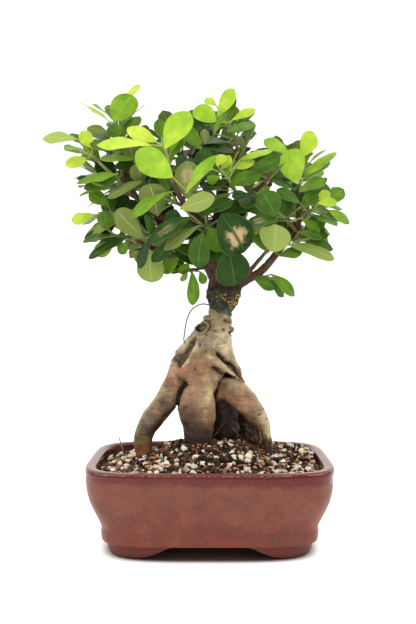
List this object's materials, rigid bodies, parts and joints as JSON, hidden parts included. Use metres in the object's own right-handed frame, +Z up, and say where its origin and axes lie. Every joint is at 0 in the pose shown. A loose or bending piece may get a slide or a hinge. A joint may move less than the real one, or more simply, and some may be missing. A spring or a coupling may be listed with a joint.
{
  "type": "potted ficus bonsai",
  "caption": "Grafted ginseng ficus bonsai with swollen aerial roots and leafy shoots, in a glazed soft-cornered rectangular pot on bracket feet.",
  "frame": {"origin": "under the middle of the whole plant's box, on the plane that the pot's feet stand on", "axes": "+Z up, +X to the right and +Y to the back, as seen from the front of the pot"},
  "size_m": [0.2607, 0.165, 0.3968],
  "materials": {
    "glazed_pot": "gloss",
    "screen_mesh": "matte",
    "potting_mix": "matte",
    "root_bark": "satin",
    "branch_bark": "matte",
    "foliage": "satin"
  },
  "bodies": {
    "root": {"aerial_strand": "branch_bark", "drain_screen_left": "screen_mesh", "drain_screen_right": "screen_mesh", "pot": "glazed_pot", "rootstock": "root_bark", "scion": "branch_bark", "shoot_back": "foliage", "shoot_back_left": "foliage", "shoot_back_left_low": "foliage", "shoot_back_low": "foliage", "shoot_back_right": "foliage", "shoot_back_right_low": "foliage", "shoot_back_top": "foliage", "shoot_centre_fill": "foliage", "shoot_centre_lime": "foliage", "shoot_centre_low": "foliage", "shoot_front": "foliage", "shoot_front_round": "foliage", "shoot_left_back": "foliage", "shoot_left_far": "foliage", "shoot_left_low": "foliage", "shoot_left_mid": "foliage", "shoot_left_top": "foliage", "shoot_left_up": "foliage", "shoot_low_back": "foliage", "shoot_low_left": "foliage", "shoot_low_middle": "foliage", "shoot_mid_low": "foliage", "shoot_mid_right": "foliage", "shoot_mid_young": "foliage", "shoot_right_back": "foliage", "shoot_right_end": "foliage", "shoot_right_inner": "foliage", "shoot_right_long": "foliage", "shoot_right_low": "foliage", "shoot_right_pale": "foliage", "shoot_right_top": "foliage", "shoot_top": "foliage", "shoot_top_back_left": "foliage", "shoot_top_left": "foliage", "shoot_top_right": "foliage", "shoot_under": "foliage", "soil": "potting_mix"}
  },
  "joints": []
}
